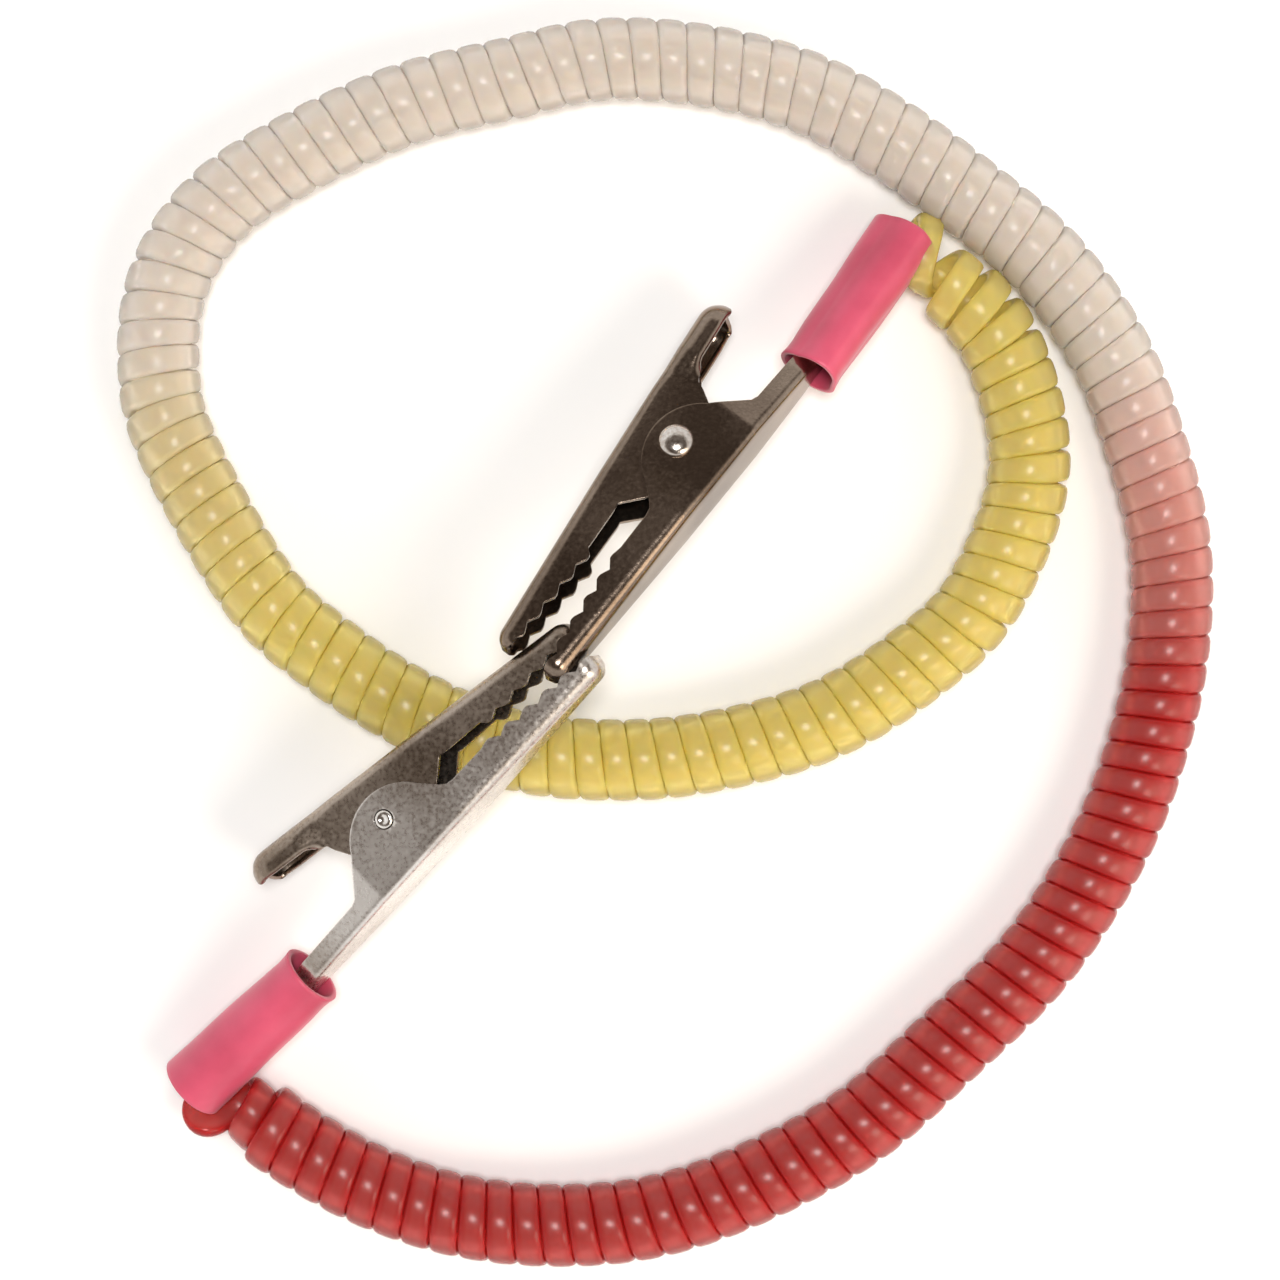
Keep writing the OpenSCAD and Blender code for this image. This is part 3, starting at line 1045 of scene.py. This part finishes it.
@dataclass
class TorsionSpring:
    """A wire wound round the rivet, with one leg along each jaw's back."""

    clip: ClipFrame
    tilt: float
    wire_r: float = 0.4 * MM
    coil_r: float = 1.9 * MM
    turns: float = 3.5
    half_h: float = 1.5 * MM
    leg_x: float = 7.5 * MM

    def path(self) -> np.ndarray:
        """The wire's middle line in the model's frame."""
        count = int(self.turns * 28)
        a = -math.pi / 2 - np.linspace(0, self.turns * math.tau, count)
        winding = np.stack([self.coil_r * np.cos(a), self.coil_r * np.sin(a),
                            np.linspace(-self.half_h, self.half_h, count)], axis=1)
        low = np.array([self.leg_x, -4.6 * MM, -self.half_h])
        top_y = (4.45 * MM) / math.cos(self.tilt) - self.leg_x * math.tan(self.tilt) - self.wire_r
        high = np.array([self.leg_x, top_y, self.half_h])
        t = np.linspace(0, 1, 14, endpoint=False)[:, None]
        leg_in = low + (winding[0] - low) * t
        leg_out = high + (winding[-1] - high) * t
        return self.clip.points(np.vstack([leg_in, winding, leg_out[::-1]]))

    def build(self, name: str, material: Material) -> Object:
        """Sweep the wire along its path with a node tree."""
        path = self.path()
        wire = bpy.data.meshes.new(name)
        wire.from_pydata([tuple(map(float, p)) for p in path],
                         [(i, i + 1) for i in range(len(path) - 1)], [])
        piece = bpy.data.objects.new(name, wire)
        bpy.context.collection.objects.link(piece)
        sweep_wire(piece, self.wire_r, material)
        return piece


def sweep_wire(piece: Object, radius: float, material: Material) -> None:
    """Turn a line of edges into round wire with Geometry Nodes, and apply it.

    Args:
        piece: an object whose mesh is one line of edges.
        radius: the wire's radius.
        material: the wire's material.
    """
    tree = bpy.data.node_groups.new("round_wire", "GeometryNodeTree")
    face = tree.interface
    face.new_socket("Line", in_out="INPUT", socket_type="NodeSocketGeometry")
    size = face.new_socket("Wire radius", in_out="INPUT", socket_type="NodeSocketFloat")
    face.new_socket("Wire", in_out="OUTPUT", socket_type="NodeSocketGeometry")
    add, link = tree.nodes.new, tree.links.new
    given, result = add("NodeGroupInput"), add("NodeGroupOutput")
    curve, ring = add("GeometryNodeMeshToCurve"), add("GeometryNodeCurvePrimitiveCircle")
    sweep, real = add("GeometryNodeCurveToMesh"), add("GeometryNodeRealizeInstances")
    paint = add("GeometryNodeSetMaterial")
    ring.inputs["Resolution"].default_value = 14
    sweep.inputs["Fill Caps"].default_value = True
    paint.inputs["Material"].default_value = material
    link(given.outputs["Line"], curve.inputs["Mesh"])
    link(given.outputs["Wire radius"], ring.inputs["Radius"])
    link(curve.outputs["Curve"], sweep.inputs["Curve"])
    link(ring.outputs["Curve"], sweep.inputs["Profile Curve"])
    link(sweep.outputs["Mesh"], real.inputs["Geometry"])
    link(real.outputs["Geometry"], paint.inputs["Geometry"])
    link(paint.outputs["Geometry"], result.inputs["Wire"])
    sweep_step = piece.modifiers.new("wire", "NODES")
    sweep_step.node_group = tree
    sweep_step[size.identifier] = radius
    final = apply_modifiers(piece)
    final.polygons.foreach_set("use_smooth", [True] * len(final.polygons))


@dataclass
class Sleeve:
    """A soft tube over a clip's tail."""

    clip: ClipFrame
    mouth_x: float
    mouth_y: float
    crease: float
    turn: float = math.radians(176)
    length: float = 17.5 * MM
    mouth_r: float = 3.15 * MM
    end_r: float = 3.5 * MM
    wall: float = 0.5 * MM
    crease_at: float = math.radians(108)
    crease_reach: float = math.radians(58)
    around: int = 96

    def way(self) -> np.ndarray:
        """The sleeve's direction, from the clip outwards."""
        return self.clip.way(math.cos(self.turn), math.sin(self.turn), 0)

    def mouth(self) -> np.ndarray:
        """The middle of the mouth that the clip's tail enters."""
        return self.clip.point(self.mouth_x, self.mouth_y, 0)

    def far_end(self) -> np.ndarray:
        """The middle of the open end away from the clip."""
        return self.mouth() + self.way() * self.length

    def build(self, name: str, material: Material) -> Object:
        """Make the sleeve with rounded rims, a slight flare, and a crease if it has one."""
        along = np.linspace(0, 1, 40)
        profile = ([(t, 0.0) for t in along] + [(1.0, 0.12), (1.0, 0.88)]
                   + [(t, 1.0) for t in along[::-1]] + [(0.0, 0.88), (0.0, 0.12)])
        way = self.way()
        side = unit(np.cross(UP, way))
        rise = np.cross(way, side)
        a = np.linspace(0, math.tau, self.around, endpoint=False)
        off = np.abs((a - self.crease_at + math.pi) % math.tau - math.pi)
        rings = []
        for t, inside in profile:
            flare = 0.16 * MM * math.exp(-t * 22) - 0.10 * MM * math.exp(-abs(t - 0.09) * 14)
            radius = self.mouth_r + (self.end_r - self.mouth_r) * t + flare
            at_rim = 0.05 * MM if 0 < inside < 1 else 0.0
            run = t * self.length + (at_rim if t > 0.5 else -at_rim)
            ridge = self.crease * np.clip(1 - off / self.crease_reach, 0, 1)
            dent = -0.35 * self.crease * np.exp(-((off - self.crease_reach) / 0.5) ** 2)
            wave = 0.05 * MM * np.sin(3 * a + 9 * t) * math.sin(math.pi * t)
            r = radius + ridge + dent + wave - inside * self.wall
            rings.append(self.mouth() + way * run + np.outer(r * np.cos(a), side)
                         + np.outer(r * np.sin(a), rise))
        total = len(rings) * self.around
        faces = [tuple(i % total for i in face)
                 for face in strip_faces(len(rings) + 1, self.around, True)]
        piece = make_piece(name, np.vstack(rings), faces, material)
        face_outwards(piece)
        return piece


@dataclass
class SpringClip:
    """One clip with its sleeve."""

    clip: ClipFrame
    tilt: float
    sleeve_x: float
    sleeve_y: float
    crease: float

    def sleeve(self) -> Sleeve:
        """The clip's sleeve."""
        return Sleeve(self.clip, self.sleeve_x, self.sleeve_y, self.crease)

    def build(self, outer: Material, inner: Material,
              pin: Material, wire: Material, vinyl: Material) -> None:
        """Make every piece of the clip and set each but the spring on its body; the spring is baked
        in place.

        Args:
            outer: the barrel jaw's plating.
            inner: the lever jaw's plating.
            pin: the rivet's plating.
            wire: the spring's wire.
            vinyl: the sleeve's vinyl.
        """
        end = self.clip.end.value
        barrel = BarrelJaw(self.clip, mouth_x=self.sleeve_x).build(
            f"barrel_jaw_{end}_plated", outer)
        lever = LeverJaw(self.clip, tilt=self.tilt).build(f"lever_jaw_{end}_plated", inner)
        rivet = Rivet(self.clip).build(f"rivet_{end}_domed", pin)
        spring = TorsionSpring(self.clip, self.tilt).build(f"spring_{end}_wound", wire)
        sleeve = self.sleeve().build(f"sleeve_{end}_soft", vinyl)
        for piece, node, body, slot in (
                (barrel, "barrel_jaw", "jaws_and_cord", "jaw_metal"),
                (lever, "lever_jaw", f"lever_{end}", "jaw_metal"),
                (rivet, "rivet", "jaws_and_cord", "rivet_metal"),
                (spring, "spring", None, "spring_wire"),
                (sleeve, "sleeve", "jaws_and_cord", "sleeve_vinyl")):
            if body is None:
                tuple(self.clip.point(0, -1.5 * MM, 0))
                tuple(self.clip.point(0, 1.5 * MM, 0))
                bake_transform(piece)
            else:
                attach(piece, body)
            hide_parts(f"{node}_{end}")
            LOG.info("%s: %d faces", piece.name, len(piece.data.polygons))


def main() -> None:
    """Build every sub-assembly and report it."""
    logging.basicConfig(level=logging.INFO, format="%(name)s: %(message)s")
    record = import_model()["record"]
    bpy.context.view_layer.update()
    Studio().build()
    clips = {
        End.RED: SpringClip(ClipFrame.of(End.RED, record), tilt=math.radians(9.7),
                            sleeve_x=-17.9 * MM, sleeve_y=-4.4 * MM, crease=0.0),
        End.YELLOW: SpringClip(ClipFrame.of(End.YELLOW, record), tilt=math.radians(6.9),
                               sleeve_x=-14.8 * MM, sleeve_y=-5.05 * MM, crease=0.75 * MM),
    }
    mouths = {end: (c.sleeve().far_end(), c.sleeve().way()) for end, c in clips.items()}
    cord, line = CoilCord().build(mouths, DyedCord("dyed_cord").make())
    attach(cord, "jaws_and_cord")
    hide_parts("coil_cord", "cord_tail_red", "cord_tail_yellow")
    length = float(run_along(line)[-1])
    tuple(mouths[End.RED][0])
    [tuple(p) for p in line]
    nickel = {
        End.RED: (NickelPlate("nickel_plate").make(),
                  # The red clip's lever jaw gets a darker copy of the barrel's nickel: painted
                  # shade on it.
                  NickelPlate("shaded_lever_nickel_plate", bright=(0.44, 0.37, 0.31),
                              dull=(0.22, 0.17, 0.13)).make()),
        # The yellow clip's jaws are both plated a much darker brown than the red clip's.
        End.YELLOW: (NickelPlate("dark_brown_nickel_plate", bright=(0.30, 0.235, 0.185),
                                 dull=(0.15, 0.11, 0.082), smooth=0.14,
                                 worn=0.30, speckle=0.2).make(),) * 2,
    }
    pin = NickelPlate("rivet_plate", bright=(0.80, 0.77, 0.73), smooth=0.12, worn=0.25).make()
    wire = NickelPlate("spring_wire", bright=(0.42, 0.40, 0.38), dull=(0.25, 0.22, 0.2)).make()
    vinyl = SoftVinyl("soft_vinyl").make()
    for end, clip in clips.items():
        clip.build(*nickel[end], pin, wire, vinyl)


if __name__ == "__main__":
    main()
